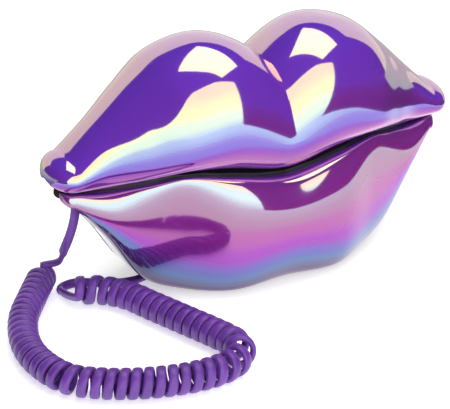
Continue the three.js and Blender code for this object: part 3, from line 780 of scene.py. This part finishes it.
def paint_pieces(handset, front, back, cord):
    slots = {
        "black_plastic": plastic("black_plastic", (0.014, 0.013, 0.016), 0.42),
        "key_plastic": plastic("key_plastic", (0.035, 0.03, 0.042), 0.36, grain=400),
        "cord_vinyl": cord_vinyl(),
        "black_rubber": plastic("black_rubber", (0.02, 0.02, 0.022), 0.8),
        "grey_rubber": plastic("grey_rubber", (0.25, 0.24, 0.28), 0.7),
        "circuit_board": plastic("circuit_board", (0.02, 0.13, 0.05), 0.4, grain=250),
        "steel": metal("steel", (0.62, 0.63, 0.66), 0.32),
        "brass": metal("brass", (0.70, 0.50, 0.22), 0.3),
    }
    lacquers = {
        "handset_shell": lacquer("handset_lacquer_painted_light", HANDSET_PAINT_WITH_PAINTED_LIGHT, HANDSET_FILM_PAINTED_REFLECTIONS),
        "base_front_shell": lacquer("base_lacquer_painted_light", BASE_PAINT_WITH_PAINTED_SHADE, BASE_FILM_PAINTED_REFLECTIONS_AND_SHADE),
    }
    for row in frame["record"]["subparts"]:
        node = frame["nodes"][row["node"]]
        chosen = lacquers.get(row["node"]) or slots[row["material_slot"]]
        node.data.materials.clear()
        node.data.materials.append(chosen)
    for obj, material in (
        (handset, lacquers["handset_shell"]),
        (front, lacquers["base_front_shell"]),
        (back, slots["black_plastic"]),
        (cord, slots["cord_vinyl"]),
    ):
        obj.data.materials.clear()
        obj.data.materials.append(material)


# ---- keypad printing ----
LABELS = {
    "key_star": "*", "key_0": "0", "key_hash": "#",
    "key_redial": "R", "key_flash": "F", "key_mute": "M",
    **{f"key_{n}": str(n) for n in range(1, 10)},
}
LABEL_SIZE = 0.0046  # metres
LABEL_THICKNESS = 0.00006  # metres


def print_keys():
    ink = plastic("key_ink", (0.72, 0.70, 0.76), 0.45)
    for key, text in LABELS.items():
        low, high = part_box(key)
        curve = bpy.data.curves.new("label_" + key, "FONT")
        curve.body = text
        curve.size = LABEL_SIZE
        curve.align_x, curve.align_y = "CENTER", "CENTER"
        curve.extrude = LABEL_THICKNESS / 2
        lettering = bpy.data.objects.new("label_" + key, curve)
        bpy.context.scene.collection.objects.link(lettering)
        # The face looks down, so the printing is turned over; its top points along +X.
        lettering.rotation_euler = (math.pi, 0, math.pi / 2)
        lettering.location.x = (low.x + high.x) / 2
        lettering.location.y = (low.y + high.y) / 2
        lettering.location.z = low.z - LABEL_THICKNESS / 2
        bpy.context.view_layer.update()
        mesh = bpy.data.meshes.new_from_object(
            lettering.evaluated_get(bpy.context.evaluated_depsgraph_get())
        )
        mesh.transform(lettering.matrix_world)
        bpy.data.objects.remove(lettering)
        label = bpy.data.objects.new("label_" + key, mesh)
        bpy.context.scene.collection.objects.link(label)
        mesh.materials.clear()
        mesh.materials.append(ink)
        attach(label, key)


# ---- edges of the CAD pieces ----
LEFT_CRISP = ("hook_spring", "base_deck", "handset_faceplate")
EDGE_ROUNDING = 0.00025  # metres
EDGE_STEPS = 2
EDGE_ANGLE = 40  # degrees: flatter edges are left alone


def ease_edges():
    """Small moulded roundings on the keys, feet, switches and other CAD pieces."""
    for name, node in frame["nodes"].items():
        if node.hide_render or name in LEFT_CRISP:
            continue
        modifier = node.modifiers.new("ease", "BEVEL")
        modifier.width = EDGE_ROUNDING
        modifier.segments = EDGE_STEPS
        modifier.limit_method = "ANGLE"
        modifier.angle_limit = math.radians(EDGE_ANGLE)


# ---- studio, in metres ----
PHONE_MIDDLE = Vector((0, 0, 0.075))
ROOM_COLOUR = (0.022, 0.02, 0.026)
BOX_Y = -0.95  # the front box stands here, where the table paper ends
BOX_LEFT, BOX_RIGHT = -1.4, 0.36  # its foot, as wide as the paper's front edge
BOX_OUTLINE = [  # (x, z)
    (BOX_LEFT, 0), (BOX_RIGHT, 0), (0.55, 1.0), (0.03, 1.25), (-0.5, 1.22), (BOX_LEFT, 0.36),
]
TABLE_OUTLINE = [  # (x, y)
    (BOX_LEFT, BOX_Y), (BOX_RIGHT, BOX_Y), (0.26, -0.7), (0.26, 0.5), (-0.35, 0.5), (-0.35, -0.2),
]
FLOOR_REACH = 6
LAYER_GAP = 0.0005  # between level faces that overlap
OVERHEAD_OUTLINE = [(0.18, 0.72), (0.75, -0.30), (0.22, -0.72), (-0.38, 0.10)]  # from the phone
OVERHEAD_HEIGHT = 1.0  # over the phone's middle
BEHIND_REACH = 1.6
BEHIND_NEAR = 0.06
BACK_DISTANCE = 1.4
BACK_TOPS = [(100, 38), (120, 42), (166, 41), (184, 40), (200, 34), (216, 26)]


def towards(azimuth, elevation, distance):
    """The point that way from the phone: azimuth 0 is straight in front, 90 to the right."""
    a, e = math.radians(azimuth), math.radians(elevation)
    flat = distance * math.cos(e)
    return PHONE_MIDDLE + Vector((flat * math.sin(a), -flat * math.cos(a), distance * math.sin(e)))


def panel(name, corners, strength, faces=None):
    """A glowing face with crisp edges. It lights the phone and shows in gloss, not to the camera."""
    obj = mesh_object(name, corners, faces or [tuple(range(len(corners)))])
    material, tree = new_material(name)
    cloth = mottle(tree, (0.94, 0.94, 0.94), (1.0, 1.0, 1.0), scale=3)
    glow = tree.nodes.new("ShaderNodeEmission")
    glow.inputs["Strength"].default_value = strength
    tree.links.new(cloth, glow.inputs["Color"])
    show(tree, glow.outputs["Emission"])
    obj.data.materials.append(material)
    obj.visible_camera = False
    obj.visible_shadow = False


def curtain(name, distance, tops, strength):
    """A curved reflector standing on the floor round the phone; tops are (azimuth, elevation)."""
    corners = []
    for azimuth, elevation in tops:
        top = towards(azimuth, elevation, distance / math.cos(math.radians(elevation)))
        corners += [Vector((top.x, top.y, 0)), top]
    faces = [(2 * i, 2 * i + 2, 2 * i + 3, 2 * i + 1) for i in range(len(tops) - 1)]
    panel(name, corners, strength, faces)


def fill(name, place, width, height, power):
    """A large soft lamp that lights the phone and the floor but doesn't show in the gloss."""
    data = bpy.data.lights.new(name, "AREA")
    data.shape = "RECTANGLE"
    data.size, data.size_y = width, height
    data.energy = power
    lamp = bpy.data.objects.new(name, data)
    bpy.context.scene.collection.objects.link(lamp)
    lamp.location = place
    lamp.rotation_euler = (Vector(place) - PHONE_MIDDLE).to_track_quat("Z", "Y").to_euler()
    lamp.visible_camera = False
    lamp.visible_glossy = False


def sheet(name, outline, height):
    """White paper lying level, cut to an outline."""
    paper = mesh_object(name, [(x, y, height) for x, y in outline], [tuple(range(len(outline)))])
    material, tree = new_material(name)
    shade = mottle(tree, (0.90, 0.90, 0.90), (0.93, 0.93, 0.93), scale=4)
    glow = {"Emission_Color": (1, 1, 1, 1), "Emission_Strength": 0.5}
    show(tree, surface(tree, shade, roughness=0.9, **glow))
    paper.data.materials.append(material)
    return paper


def lay_papers():
    """The table's paper shows in the gloss, as far as the front box's foot; the floor's doesn't."""
    sheet("table_paper", TABLE_OUTLINE, 0)
    reach = FLOOR_REACH
    around = sheet("floor_paper", rectangle(-reach, -reach, reach, reach), -LAYER_GAP)
    around.visible_glossy = False


def darken_room():
    world = bpy.data.worlds.new("studio")
    bpy.context.scene.world = world
    world.use_nodes = True
    background = world.node_tree.nodes["Background"]
    background.inputs["Color"].default_value = (*ROOM_COLOUR, 1)


def place_panels():
    box = [Vector((x, BOX_Y, z)) for x, z in BOX_OUTLINE]
    panel("front_box", box, strength=1.9)
    overhead = [PHONE_MIDDLE + Vector((x, y, OVERHEAD_HEIGHT)) for x, y in OVERHEAD_OUTLINE]
    panel("overhead_box", overhead, strength=2.6)
    behind = rectangle(-BEHIND_REACH, BEHIND_NEAR, BEHIND_REACH, BEHIND_REACH)
    panel("table_behind", [(x, y, LAYER_GAP) for x, y in behind], strength=0.55)
    curtain("back_reflector", BACK_DISTANCE, BACK_TOPS, strength=0.95)


def light_studio():
    lay_papers()
    darken_room()
    place_panels()
    fill("fill_top", place=(0.0, -0.3, 2.2), width=3.0, height=3.0, power=26)
    fill("fill_front", place=(-0.8, -1.8, 0.9), width=1.6, height=1.2, power=8)


make_camera()
handset, front, back = make_shells()
cord = make_cord()
paint_pieces(handset, front, back, cord)
print_keys()
ease_edges()
light_studio()
bpy.context.scene.view_settings.view_transform = "Standard"
